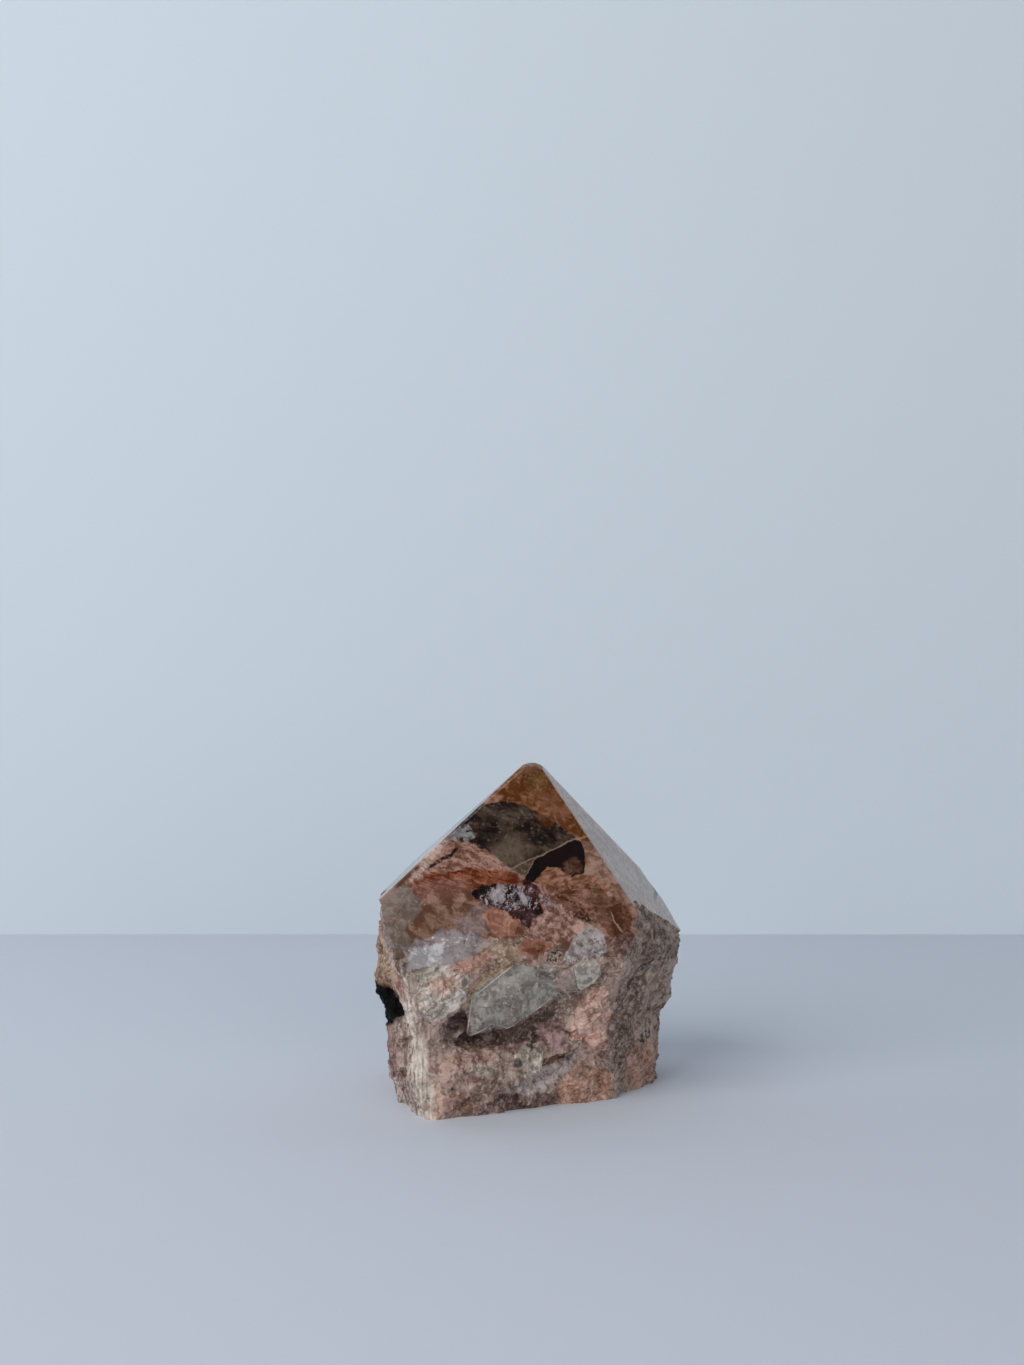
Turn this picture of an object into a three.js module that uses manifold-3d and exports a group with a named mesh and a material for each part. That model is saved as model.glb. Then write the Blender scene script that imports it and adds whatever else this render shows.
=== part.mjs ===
// A moonstone point: one natural lump of feldspar and quartz, sawn flat underneath, left broken round
// its sides, and ground on top to a polished four-sided point with a rounded tip.
// Millimetres, +Z up, the side with the quartz plate towards -Y, the origin under the middle of the stone.
import * as THREE from 'three';
import Module from 'manifold-3d';
import { mergeVertices } from 'three/addons/utils/BufferGeometryUtils.js';
import { ImprovedNoise } from 'three/addons/math/ImprovedNoise.js';

// The point: its front, right and left flats would meet here if the tip weren't rounded, and the back
// one is ground a little deeper. A flat's bearing turns from -Y towards +X, and its slope is from the
// horizontal. Both are in degrees.
const APEX = new THREE.Vector3(0.5, 3.5, 60.6);
const FLATS = {
  front: { bearing: 17, slope: 60, deeper: 0 },
  right: { bearing: 78, slope: 53, deeper: 0 },
  back: { bearing: 175, slope: 56.5, deeper: 0.3 },
  left: { bearing: -94.9, slope: 42.4, deeper: 0 },
};
// The tip is rounded to a ball by rings of small planes
const TIP_RADIUS = 3;
const TIP_RINGS = [
  { tilt: 0, planes: 1 },
  { tilt: 18, planes: 6 },
  { tilt: 33, planes: 9 },
];

// The upright ridges between the broken sides, as [height, x, y] from the base to the shoulder
const FRONT_LEFT = [
  [0, -18, -21.4], [7, -19.7, -22], [16, -19.6, -22.1], [24, -21.5, -22.9], [27, -22.4, -23.5],
  [33, -24.9, -21.5], [38, -26.4, -19], [44, -27.4, -16.5],
];
const FRONT_RIGHT = [
  [0, 14.9, -7.3], [10, 14.1, -8.1], [20, 14.9, -8.9], [26, 17, -10.5], [32, 18.3, -9.7], [38, 18.5, -7.5],
];
const RIGHT = [
  [0, 23, 6], [4, 23.6, 6.2], [10, 23.9, 7], [12.6, 24.7, 7.5], [14.4, 25.8, 7.5], [18, 26.4, 8],
  [22, 27.4, 8], [25.3, 28.6, 8.5], [27.5, 28.7, 9], [29.5, 28.3, 9.5], [31.7, 27.7, 10.5], [34, 26.8, 11.5],
  [36, 25.4, 12.5], [39, 22.4, 14.5],
];
const BACK_RIGHT = [
  [0, 17.5, 19.5], [9, 19, 20.5], [17, 18.6, 21], [25, 19.8, 21.2], [33, 18.6, 20.6], [40, 17.5, 20],
];
const BACK = [
  [0, -1, 21.8], [8, -2.4, 22.6], [19, -1.2, 23.3], [27, -3, 22.8], [36, -3.4, 21.4], [42, -3, 20.5],
];
const BACK_LEFT = [
  [0, -20, 15.5], [10, -21.6, 16.8], [18, -21.2, 17.2], [26, -23.4, 17.6], [34, -22.6, 16.5], [42, -22, 15.5],
];
const LEFT = [
  [0, -23.6, -9], [4, -24.8, -9.2], [7.5, -25.1, -9.4], [13.6, -25.4, -9.6], [16.5, -26, -10],
  [19, -27.4, -10], [21.5, -28.1, -10], [25, -27.5, -9.8], [28, -26.7, -9.6], [32, -26.2, -9.4],
  [36.4, -26.4, -9], [42, -26.6, -9],
];

// Rows of faces run up the sides from just below the sawn base to above the shoulder
const ROW_HEIGHT = 1.22;
const LOWEST_ROW = -1.22;
const SHOULDER_TOP = 45;
const ROUGH_TOP = 64;

// Relief of the broken sides: large and small cleavage blocks, and low waves under them
const LARGE_BLOCK = { size: 8.5, height: 0.65, salt: 1 };
const SMALL_BLOCK = { size: 3.9, height: 0.38, salt: 5 };
const BLOCK_LEAN = 1.6;
const WAVE = { size: 13, height: 0.7 };
// Fibres that climb the right-hand side on the slant
const FIBRE = { size: 2.6, length: 9, lean: 0.55, height: 0.4 };
// Near a ridge the relief fades to this share, so that the ridges keep their drawn line
const RIDGE_SHARE = 0.25;
const RIDGE_WIDTH = 2.4;

// The quartz plate that stands proud of the front, as [x, z] round its outline
const QUARTZ_PLATE = [
  [-11.2, 14.5], [-9.8, 18.4], [-7.2, 21.7], [-3.7, 23.5], [-1.1, 25], [2.4, 23.3], [7.7, 25.3],
  [10.4, 26.3], [12.3, 24.4], [12.4, 21.7], [9.6, 19.8], [6.9, 19.5], [2.4, 16.3], [-1.1, 15.5],
  [-5.5, 15.4], [-7.2, 14.3],
];
const QUARTZ_RISE = 0.8;
const QUARTZ_SHOULDER = 0.8;
// Lumps and hollows of the front: middle [x, z], half width and half height, turn in degrees, rise
const FRONT_FORMS = [
  { at: [-15.6, 20.4], half: [5.2, 5.6], turn: 10, rise: 1.1 },
  { at: [-8.6, 13.2], half: [4.2, 2.4], turn: 15, rise: -2.4 },
  { at: [1.5, 13.4], half: [7.5, 1.9], turn: 25, rise: -1.1 },
  { at: [-10.5, 7], half: [7.5, 4.6], turn: 0, rise: 0.9 },
  { at: [3.2, 6.2], half: [7.5, 1.4], turn: 34, rise: -0.7 },
  { at: [10.4, 15.6], half: [3, 4.4], turn: -8, rise: 0.9 },
  { at: [11.6, 11.6], half: [1.7, 1.9], turn: 0, rise: 1.1 },
  { at: [8.8, 4.6], half: [2.8, 4], turn: 20, rise: 0.6 },
  { at: [12.4, 2.6], half: [1.5, 2.2], turn: -30, rise: -1.8 },
  { at: [2.6, 26.2], half: [1.5, 1.3], turn: 0, rise: -0.8 },
  { at: [14.6, 28], half: [1.5, 3.4], turn: -30, rise: -0.8 },
];
// Lumps and hollows of the right-hand side: middle [y, z] and as above
const RIGHT_FORMS = [
  { at: [-4.5, 17], half: [2.2, 7.5], turn: -14, rise: -1.3 },
  { at: [2, 27], half: [5.5, 3.4], turn: 0, rise: 0.6 },
  { at: [3.4, 13.6], half: [3.2, 1.7], turn: 20, rise: -1 },
  { at: [0.5, 6.5], half: [5.5, 3.6], turn: 10, rise: 0.9 },
  { at: [-3.6, 2.2], half: [3, 2], turn: -20, rise: -1.1 },
];
// The black mineral's pocket on the left-hand side, under a brow: middle [y, z] and as above
const LEFT_FORMS = [
  { at: [-14.6, 19], half: [4.4, 3.4], turn: 0, rise: -1.7 },
  { at: [-13.4, 24.2], half: [4.2, 2], turn: 8, rise: 0.8 },
  { at: [-14.5, 11], half: [3.6, 4], turn: 0, rise: 0.3 },
];
// Hollows and lumps of the back and the far left, which break the long walls: middle [x, z] or [y, z]
const BACK_FORMS = [
  { at: [9, 14], half: [6, 7], turn: 20, rise: 1.1 },
  { at: [-2, 9], half: [5, 3.4], turn: -25, rise: -1.5 },
  { at: [-13, 21], half: [6.5, 5], turn: 15, rise: 1.2 },
  { at: [-12, 6], half: [4, 4.4], turn: 0, rise: -0.9 },
  { at: [6, 27], half: [7, 2.6], turn: -10, rise: -0.9 },
];
const FAR_LEFT_FORMS = [
  { at: [4.5, 14], half: [6, 6.4], turn: 25, rise: 1.2 },
  { at: [-3, 26], half: [4.4, 4.4], turn: 0, rise: -1.2 },
  { at: [9, 27], half: [5, 3.4], turn: -15, rise: 0.8 },
  { at: [-2.5, 6], half: [3.6, 3], turn: 0, rise: -0.9 },
];

// The broken sides, anticlockwise from above: the ridges each runs between, how far its middle bows out
// and its columns of faces, then its own lumps and hollows with the axis that places them, and how strong
// the waves, the large and small blocks and the fibres are there
const SIDES = [
  { from: FRONT_LEFT, to: FRONT_RIGHT, bow: 0.2, columns: 34,
    forms: FRONT_FORMS, along: 'x', waves: 0.6, large: 0.45, small: 0.6, fibrous: 0, plate: true },
  { from: FRONT_RIGHT, to: RIGHT, bow: 0.3, columns: 17,
    forms: RIGHT_FORMS, along: 'y', waves: 0.6, large: 0.5, small: 0.8, fibrous: 1 },
  { from: RIGHT, to: BACK_RIGHT, bow: 0.4, columns: 12,
    forms: [], along: 'y', waves: 1, large: 1, small: 1, fibrous: 0.5 },
  { from: BACK_RIGHT, to: BACK, bow: 0.2, columns: 16,
    forms: BACK_FORMS, along: 'x', waves: 1, large: 1, small: 1, fibrous: 0 },
  { from: BACK, to: BACK_LEFT, bow: 0.6, columns: 16,
    forms: BACK_FORMS, along: 'x', waves: 1, large: 1, small: 1, fibrous: 0 },
  { from: BACK_LEFT, to: LEFT, bow: 1, columns: 21,
    forms: FAR_LEFT_FORMS, along: 'y', waves: 1, large: 1, small: 1, fibrous: 0 },
  { from: LEFT, to: FRONT_LEFT, bow: 0.2, columns: 12,
    forms: LEFT_FORMS, along: 'y', waves: 0.5, large: 0.3, small: 0.7, fibrous: 0 },
];

const noise = new ImprovedNoise();
const wasm = await Module();
wasm.setup();

// The x and y of a ridge at a height, straight between its points
function ridgeAt(ridge, z) {
  const last = ridge.length - 1;
  if (z >= ridge[last][0]) return new THREE.Vector2(ridge[last][1], ridge[last][2]);
  const upper = Math.max(1, ridge.findIndex((knot) => knot[0] > z));
  const [lowZ, lowX, lowY] = ridge[upper - 1];
  const [highZ, highX, highY] = ridge[upper];
  const share = Math.max(0, (z - lowZ) / (highZ - lowZ));
  return new THREE.Vector2(lowX, lowY).lerp(new THREE.Vector2(highX, highY), share);
}

// A repeatable random number from 0 to 1 for a grid cell
function chance(i, j, k, salt) {
  const wave = Math.sin(i * 127.1 + j * 311.7 + k * 74.7 + salt * 53.3) * 43758.5453;
  return wave - Math.floor(wave);
}

// Stepped relief, from about -1 to 1: each block stands at its own height and leans its own way
function blocks(p, { size, salt }) {
  const cell = [p.x / size, p.y / size, p.z / size];
  const home = cell.map(Math.floor);
  let nearest = Infinity;
  let value = 0;
  for (let i = home[0] - 1; i <= home[0] + 1; i++) {
    for (let j = home[1] - 1; j <= home[1] + 1; j++) {
      for (let k = home[2] - 1; k <= home[2] + 1; k++) {
        const away = [
          cell[0] - i - chance(i, j, k, salt),
          cell[1] - j - chance(i, j, k, salt + 1),
          cell[2] - k - chance(i, j, k, salt + 2),
        ];
        const distance = Math.hypot(...away);
        if (distance < nearest) {
          nearest = distance;
          const lean = away.map((part, axis) => part * (chance(i, j, k, salt + 4 + axis) - 0.5) * BLOCK_LEAN);
          value = chance(i, j, k, salt + 3) * 2 - 1 + lean[0] + lean[1] + lean[2];
        }
      }
    }
  }
  return value;
}

// 1 in the middle of an oval form and 0 outside it, with a steep shoulder
function formShare(across, up, { at, half, turn }) {
  const angle = THREE.MathUtils.degToRad(turn);
  const dx = across - at[0];
  const dz = up - at[1];
  const along = (dx * Math.cos(angle) + dz * Math.sin(angle)) / half[0];
  const over = (dz * Math.cos(angle) - dx * Math.sin(angle)) / half[1];
  return 1 - THREE.MathUtils.smoothstep(Math.hypot(along, over), 0.55, 1);
}

function formsRise(across, up, forms) {
  return forms.reduce((sum, form) => sum + form.rise * formShare(across, up, form), 0);
}

// How far a point of the front lies inside the quartz plate's outline, less than 0 outside it
function depthInPlate(x, z) {
  let inside = false;
  let nearest = Infinity;
  QUARTZ_PLATE.forEach(([x1, z1], index) => {
    const [x2, z2] = QUARTZ_PLATE[(index + 1) % QUARTZ_PLATE.length];
    if (z1 > z !== z2 > z && x < x1 + ((z - z1) / (z2 - z1)) * (x2 - x1)) inside = !inside;
    const along = ((x - x1) * (x2 - x1) + (z - z1) * (z2 - z1)) / ((x2 - x1) ** 2 + (z2 - z1) ** 2);
    const share = THREE.MathUtils.clamp(along, 0, 1);
    nearest = Math.min(nearest, Math.hypot(x - x1 - share * (x2 - x1), z - z1 - share * (z2 - z1)));
  });
  return inside ? nearest : -nearest;
}

// Slanting fibres, as noise drawn out along their run
function fibres(across, up) {
  const run = across * FIBRE.lean + up;
  const side = across - up * FIBRE.lean;
  return noise.noise(side / FIBRE.size, run / FIBRE.length, 3.7);
}

// How far a point of a broken side stands out from the plain side
function relief(p, { forms, along, waves, large, small, fibrous, plate }) {
  const low = noise.noise(p.x / WAVE.size, p.y / WAVE.size, p.z / WAVE.size) * WAVE.height * waves;
  const broken = blocks(p, LARGE_BLOCK) * LARGE_BLOCK.height * large
    + blocks(p, SMALL_BLOCK) * SMALL_BLOCK.height * small
    + fibres(p[along], p.z) * FIBRE.height * fibrous
    + formsRise(p[along], p.z, forms);
  if (!plate) return low + broken;
  const onPlate = THREE.MathUtils.smoothstep(depthInPlate(p.x, p.z), -QUARTZ_SHOULDER, QUARTZ_SHOULDER);
  return low + THREE.MathUtils.lerp(broken, QUARTZ_RISE, onPlate);
}

// One point of the rough body, on a side at a share of the way along it
function bodyPoint(side, share, z) {
  const start = ridgeAt(side.from, z);
  const run = ridgeAt(side.to, z).sub(start);
  const outward = new THREE.Vector2(run.y, -run.x).normalize();
  const bow = side.bow * 4 * share * (1 - share);
  const point = start.addScaledVector(run, share).addScaledVector(outward, bow);
  const fromRidge = Math.min(share, 1 - share) * run.length();
  const strength = RIDGE_SHARE + (1 - RIDGE_SHARE) * THREE.MathUtils.smoothstep(fromRidge, 0, RIDGE_WIDTH);
  return point.addScaledVector(outward, relief(new THREE.Vector3(point.x, point.y, z), side) * strength);
}

// The rough body before it is sawn and ground: rings of points stacked from below the base to above the tip
function roughBody() {
  const heights = [];
  for (let z = LOWEST_ROW; z < SHOULDER_TOP; z += ROW_HEIGHT) heights.push(z);
  heights.push(ROUGH_TOP);
  const positions = [];
  for (const z of heights) {
    for (const side of SIDES) {
      for (let column = 0; column < side.columns; column++) {
        const { x, y } = bodyPoint(side, column / side.columns, Math.min(z, SHOULDER_TOP));
        positions.push(x, y, z);
      }
    }
  }
  const around = SIDES.reduce((sum, { columns }) => sum + columns, 0);
  const at = (index) => new THREE.Vector3().fromArray(positions, 3 * index);
  const faces = [];
  for (let row = 0; row < heights.length - 1; row++) {
    for (let column = 0; column < around; column++) {
      const a = row * around + column;
      const b = row * around + ((column + 1) % around);
      const [c, d] = [b + around, a + around];
      // The shorter diagonal follows the ledges
      if (at(a).distanceTo(at(c)) < at(b).distanceTo(at(d))) faces.push(a, b, c, a, c, d);
      else faces.push(a, b, d, b, c, d);
    }
  }
  const bottom = positions.length / 3;
  positions.push(0, 0, heights[0], 0, 0, ROUGH_TOP);
  const topRow = (heights.length - 1) * around;
  for (let column = 0; column < around; column++) {
    const next = (column + 1) % around;
    faces.push(bottom, next, column);
    faces.push(bottom + 1, topRow + column, topRow + next);
  }
  const body = new THREE.BufferGeometry();
  body.setAttribute('position', new THREE.Float32BufferAttribute(positions, 3));
  body.setIndex(faces);
  return body;
}

// A closed three.js geometry as a solid that can be cut
function solidOf(geometry) {
  const bare = geometry.clone();
  bare.deleteAttribute('normal');
  bare.deleteAttribute('uv');
  const merged = mergeVertices(bare, 1e-4);
  const mesh = new wasm.Mesh({
    numProp: 3,
    vertProperties: Float32Array.from(merged.attributes.position.array),
    triVerts: Uint32Array.from(merged.index.array),
  });
  return new wasm.Manifold(mesh);
}

function geometryOf(solid) {
  const mesh = solid.getMesh();
  const geometry = new THREE.BufferGeometry();
  geometry.setAttribute('position', new THREE.Float32BufferAttribute(mesh.vertProperties, 3));
  geometry.setIndex(new THREE.Uint32BufferAttribute(mesh.triVerts, 1));
  return geometry;
}

// The direction that a ground plane faces
function facing(bearing, slope) {
  const turn = THREE.MathUtils.degToRad(bearing);
  const tilt = THREE.MathUtils.degToRad(slope);
  return new THREE.Vector3(Math.sin(turn) * Math.sin(tilt), -Math.cos(turn) * Math.sin(tilt), Math.cos(tilt));
}

// Everything on the outer side of a plane, as one large block to take away
function waste(point, outward) {
  const size = 160;
  const block = new THREE.BoxGeometry(size, size, size);
  block.translate(0, 0, size / 2);
  block.applyQuaternion(new THREE.Quaternion().setFromUnitVectors(new THREE.Vector3(0, 0, 1), outward));
  block.translate(point.x, point.y, point.z);
  return solidOf(block);
}

// The middle of the ball that touches the front, right and left flats from inside
function tipMiddle() {
  const [front, right, left] = [FLATS.front, FLATS.right, FLATS.left].map((f) => facing(f.bearing, f.slope));
  const normals = new THREE.Matrix3().set(...front.toArray(), ...right.toArray(), ...left.toArray());
  const inward = new THREE.Vector3(-TIP_RADIUS, -TIP_RADIUS, -TIP_RADIUS).applyMatrix3(normals.invert());
  return APEX.clone().add(inward);
}

function moonstone() {
  let stone = solidOf(roughBody());
  stone = stone.subtract(waste(new THREE.Vector3(), new THREE.Vector3(0, 0, -1)));
  for (const { bearing, slope, deeper } of Object.values(FLATS)) {
    const outward = facing(bearing, slope);
    stone = stone.subtract(waste(APEX.clone().addScaledVector(outward, -deeper), outward));
  }
  const ball = tipMiddle();
  for (const { tilt, planes } of TIP_RINGS) {
    for (let plane = 0; plane < planes; plane++) {
      const outward = facing((360 * plane) / planes + tilt, tilt);
      stone = stone.subtract(waste(ball.clone().addScaledVector(outward, TIP_RADIUS), outward));
    }
  }
  return geometryOf(stone);
}

// Stand the stone on the origin by the middle of its box
const stone = moonstone();
stone.computeBoundingBox();
const middle = stone.boundingBox.getCenter(new THREE.Vector3());
stone.translate(-middle.x, -middle.y, 0);
stone.computeVertexNormals();

const feldspar = new THREE.MeshStandardMaterial({ color: 0xa07563, roughness: 0.45, metalness: 0 });
const point = new THREE.Mesh(stone, feldspar);
point.name = 'moonstone_point';

const group = new THREE.Group();
group.add(point);
export default group;
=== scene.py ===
import math

import bpy
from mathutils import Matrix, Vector, noise


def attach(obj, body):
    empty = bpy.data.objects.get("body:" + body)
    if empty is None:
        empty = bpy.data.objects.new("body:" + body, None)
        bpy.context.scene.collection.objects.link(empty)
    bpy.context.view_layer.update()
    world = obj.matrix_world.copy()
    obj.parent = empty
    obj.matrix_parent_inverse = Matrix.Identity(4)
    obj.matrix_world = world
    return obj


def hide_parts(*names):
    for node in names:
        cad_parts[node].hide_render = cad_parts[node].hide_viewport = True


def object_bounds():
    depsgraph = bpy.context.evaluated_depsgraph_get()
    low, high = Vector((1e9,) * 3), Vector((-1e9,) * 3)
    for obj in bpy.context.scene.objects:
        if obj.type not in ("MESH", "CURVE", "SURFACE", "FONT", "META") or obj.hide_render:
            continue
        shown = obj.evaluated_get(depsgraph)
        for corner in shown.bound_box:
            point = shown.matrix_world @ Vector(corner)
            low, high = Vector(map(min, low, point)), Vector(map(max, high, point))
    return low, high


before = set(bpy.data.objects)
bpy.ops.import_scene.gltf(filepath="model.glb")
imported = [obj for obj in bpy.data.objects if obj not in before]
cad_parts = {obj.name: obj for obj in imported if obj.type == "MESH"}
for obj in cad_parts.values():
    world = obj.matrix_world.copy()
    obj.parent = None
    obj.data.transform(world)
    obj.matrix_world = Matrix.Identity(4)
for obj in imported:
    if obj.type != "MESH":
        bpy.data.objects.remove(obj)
cad_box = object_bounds()

# The lump: one stone in which feldspar and quartz grew together, broken all round from a bigger one.
# Its skin starts as a copy of the plain solid, meshed finely enough to hold the grain of the break.
MM = 0.001
SKIN_STEP = 0.33

bpy.ops.object.select_all(action="DESELECT")
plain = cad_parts["moonstone_point"]
stone = bpy.data.objects.new("moonstone", plain.data.copy())
bpy.context.scene.collection.objects.link(stone)
stone.data.materials.clear()
stone.select_set(True)
bpy.context.view_layer.objects.active = stone
bpy.ops.object.mode_set(mode="EDIT")
bpy.ops.mesh.select_all(action="SELECT")
bpy.ops.mesh.remove_doubles(threshold=0.01 * MM)
bpy.ops.object.mode_set(mode="OBJECT")
skin = stone.modifiers.new("skin", "REMESH")
skin.mode = "VOXEL"
skin.voxel_size = SKIN_STEP * MM
bpy.ops.object.modifier_apply(modifier=skin.name)

# The ground point: four flats that would meet at one apex, the back one cut a little deeper, and a tip
# rounded by hand to a small ball. A bearing turns from -Y to +X and a slope from the level, in degrees.
APEX = Vector((0.1775, 3.294, 60.6))
FLATS = {
    "front": (17, 60, 0),
    "right": (78, 53, 0),
    "back": (175, 56.5, 0.3),
    "left": (-94.9, 42.4, 0),
}
ARRISES = [("front", "right"), ("right", "back"), ("back", "left"), ("left", "front")]
TIP_RADIUS = 3.0
TIP_MIDDLE = APEX + Vector((-0.28, 0.90, -4.40))


def flat_plane(bearing, slope, deeper):
    turn, tilt = math.radians(bearing), math.radians(slope)
    normal = Vector((math.sin(turn) * math.sin(tilt), -math.cos(turn) * math.sin(tilt), math.cos(tilt)))
    return normal, normal.dot(APEX) - deeper


PLANES = {name: flat_plane(*flat) for name, flat in FLATS.items()}


def smooth(value, low, high):
    share = min(max((value - low) / (high - low), 0.0), 1.0)
    return share * share * (3.0 - 2.0 * share)


def depths(point):
    return {name: offset - normal.dot(point) for name, (normal, offset) in PLANES.items()}


def tip_skin(point):
    """The place on the rounded tip that a point belongs to, or None where a flat is the nearest skin."""
    outward = point - TIP_MIDDLE
    if outward.length > TIP_RADIUS + 0.9 or outward.z < 0:
        return None
    front, right, left = (PLANES[name][0] for name in ("front", "right", "left"))
    ridge = right.cross(left)
    if outward.dot(ridge) * front.dot(ridge) > 0:
        base = Vector((0, 0, 0))
        sides = [(front.cross(right), left), (left.cross(front), right)]
    else:
        base = outward.project(ridge)
        sides = [(ridge.cross(right), left), (ridge.cross(left), right)]
    around = outward - base
    if any(around.dot(side) * other.dot(side) <= 0 for side, other in sides):
        return None
    return TIP_MIDDLE + base + around.normalized() * TIP_RADIUS


# The broken sides: the stone split along the cleavage of its feldspar into blocks and small steps, with
# fibres down its front left ridge and up its right side, and a plate of quartz that stands proud.
RIDGE_FRONT_LEFT = [(0, -18.3, -21.6), (16, -19.9, -22.3), (27, -22.7, -23.7), (38, -26.7, -19.2)]
RIDGE_FRONT_RIGHT = [(0, 14.6, -7.5), (20, 14.6, -9.1), (26, 16.7, -10.7), (38, 18.2, -7.7)]
QUARTZ_PLATE = [
    (-11.7, 14.4), (-11.4, 18.3), (-10.7, 21.0), (-9.5, 22.9), (-6.7, 24.6), (-3.4, 26.2),
    (-1.7, 26.4), (0.1, 25.6), (0.9, 24.3), (3.6, 23.4), (5.2, 24.6), (6.4, 25.0), (6.9, 25.4),
    (8.3, 25.8), (10.5, 26.5), (11.5, 25.5), (11.9, 23.5), (10.7, 21.9), (8.4, 20.6), (4.8, 20.6),
    (3.2, 19.8), (1.3, 18.2), (-0.6, 17.1), (-3.2, 15.8), (-4.8, 15.0), (-6.7, 15.8), (-7.8, 15.7),
    (-9.5, 14.6), (-11.1, 14.1),
]


def ridge_at(ridge, z):
    for (z0, x0, y0), (z1, x1, y1) in zip(ridge, ridge[1:]):
        if z <= z1:
            share = max(z - z0, 0) / (z1 - z0)
            return Vector((x0 + share * (x1 - x0), y0 + share * (y1 - y0)))
    return Vector(ridge[-1][1:])


def reach_into(corners, x, z):
    """How far a place lies inside an outline, negative outside it."""
    nearest, inside = 1e9, False
    for (x0, z0), (x1, z1) in zip(corners, corners[1:] + corners[:1]):
        along = ((x - x0) * (x1 - x0) + (z - z0) * (z1 - z0)) / ((x1 - x0) ** 2 + (z1 - z0) ** 2)
        along = min(max(along, 0.0), 1.0)
        nearest = min(nearest, math.hypot(x - x0 - along * (x1 - x0), z - z0 - along * (z1 - z0)))
        if (z0 > z) != (z1 > z) and x < x0 + (z - z0) * (x1 - x0) / (z1 - z0):
            inside = not inside
    return nearest if inside else -nearest


def line_gap(x, z, line):
    """Distance from a place to a line drawn through points."""
    gaps = []
    for (x0, z0), (x1, z1) in zip(line, line[1:]):
        along = ((x - x0) * (x1 - x0) + (z - z0) * (z1 - z0)) / ((x1 - x0) ** 2 + (z1 - z0) ** 2)
        along = min(max(along, 0.0), 1.0)
        gaps.append(math.hypot(x - x0 - along * (x1 - x0), z - z0 - along * (z1 - z0)))
    return min(gaps)


def cleavage(point, size, step, tilt):
    """Blocks that each stand out by their own step and lean their own way, with a fine joint between."""
    spans, middles = noise.voronoi(point / size)
    middle = middles[0]
    lean = noise.noise_vector(middle * 3.7 + Vector((9.1, 2.3, 5.7)))
    height = step * noise.noise(middle * 5.3) * 2.0
    height += tilt * size * (point / size - middle).dot(lean)
    joint = spans[1] - spans[0]
    return height, joint


def ledges(point):
    """Steps where one sheet of the feldspar broke off above the next."""
    rise = 1.6 * noise.fractal(Vector((point.x * 0.16, point.y * 0.16, point.z * 0.24)), 0.9, 2.0, 3) / LEDGE
    step = math.floor(rise)
    return LEDGE * (step + smooth(rise - step, 0.4, 0.6) - rise)


LEDGE = 0.34
ALONG_FIBRES = Vector((0.41, 0.65, 0.63))
ACROSS_FIBRES = Vector((-0.33, -0.54, 0.77))
# Pieces of the broken front that stand out or lie deep, each with its rise in mm
PIECES = [
    (0.45, [(-20.7, 25.8), (-18.5, 27.4), (-15.3, 27.5), (-12.4, 26.3), (-11.2, 24.1), (-11.7, 20.6),
            (-14.1, 18.8), (-17.8, 18.1), (-20.4, 19.5)]),
    (0.50, [(7.7, 18.9), (9.6, 20.6), (12.9, 20.9), (13.7, 16.3), (13.0, 11.9), (10.1, 12.1), (7.9, 11.4),
            (7.2, 15.1)]),
    (0.75, [(9.3, 11.9), (12.2, 12.0), (13.2, 9.4), (11.4, 8.5), (9.7, 9.4)]),
    (0.40, [(4.7, -1.0), (4.7, 0.8), (5.8, 4.1), (8.3, 7.2), (11.9, 6.3), (13.4, 3.4), (13.4, -1.0)]),
    (-0.45, [(1.3, 6.7), (2.0, 8.8), (5.6, 9.6), (5.1, 7.2), (2.6, 5.9)]),
    (0.35, [(-3.1, 8.6), (-2.4, 10.6), (0.4, 11.2), (1.7, 9.2), (1.2, 6.7), (-1.3, 5.9)]),
    (-0.95, [(-15.5, 16.4), (-12.4, 19.0), (-11.4, 17.6), (-11.4, 14.6), (-9.7, 12.6), (-12.8, 12.1),
             (-15.5, 13.4)]),
    (-0.55, [(-10.4, 13.3), (-5.0, 14.5), (-2.0, 16.6), (2.0, 18.8), (3.9, 19.2), (4.0, 16.5), (0.5, 14.5),
             (-3.1, 12.4), (-7.6, 11.7)]),
    (0.30, [(-14.8, 26.8), (-7.2, 29.3), (-6.0, 28.2), (-9.3, 25.4), (-11.4, 24.4)]),
    (0.35, [(5.7, 26.8), (7.1, 29.4), (10.0, 31.5), (12.5, 30.1), (12.8, 27.2), (8.9, 24.9)]),
]
SEAM = [(-12.0, 21.0), (-10.7, 22.8), (-8.3, 24.7), (-5.9, 26.5), (-3.3, 28.2), (-0.4, 29.7)]


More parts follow.
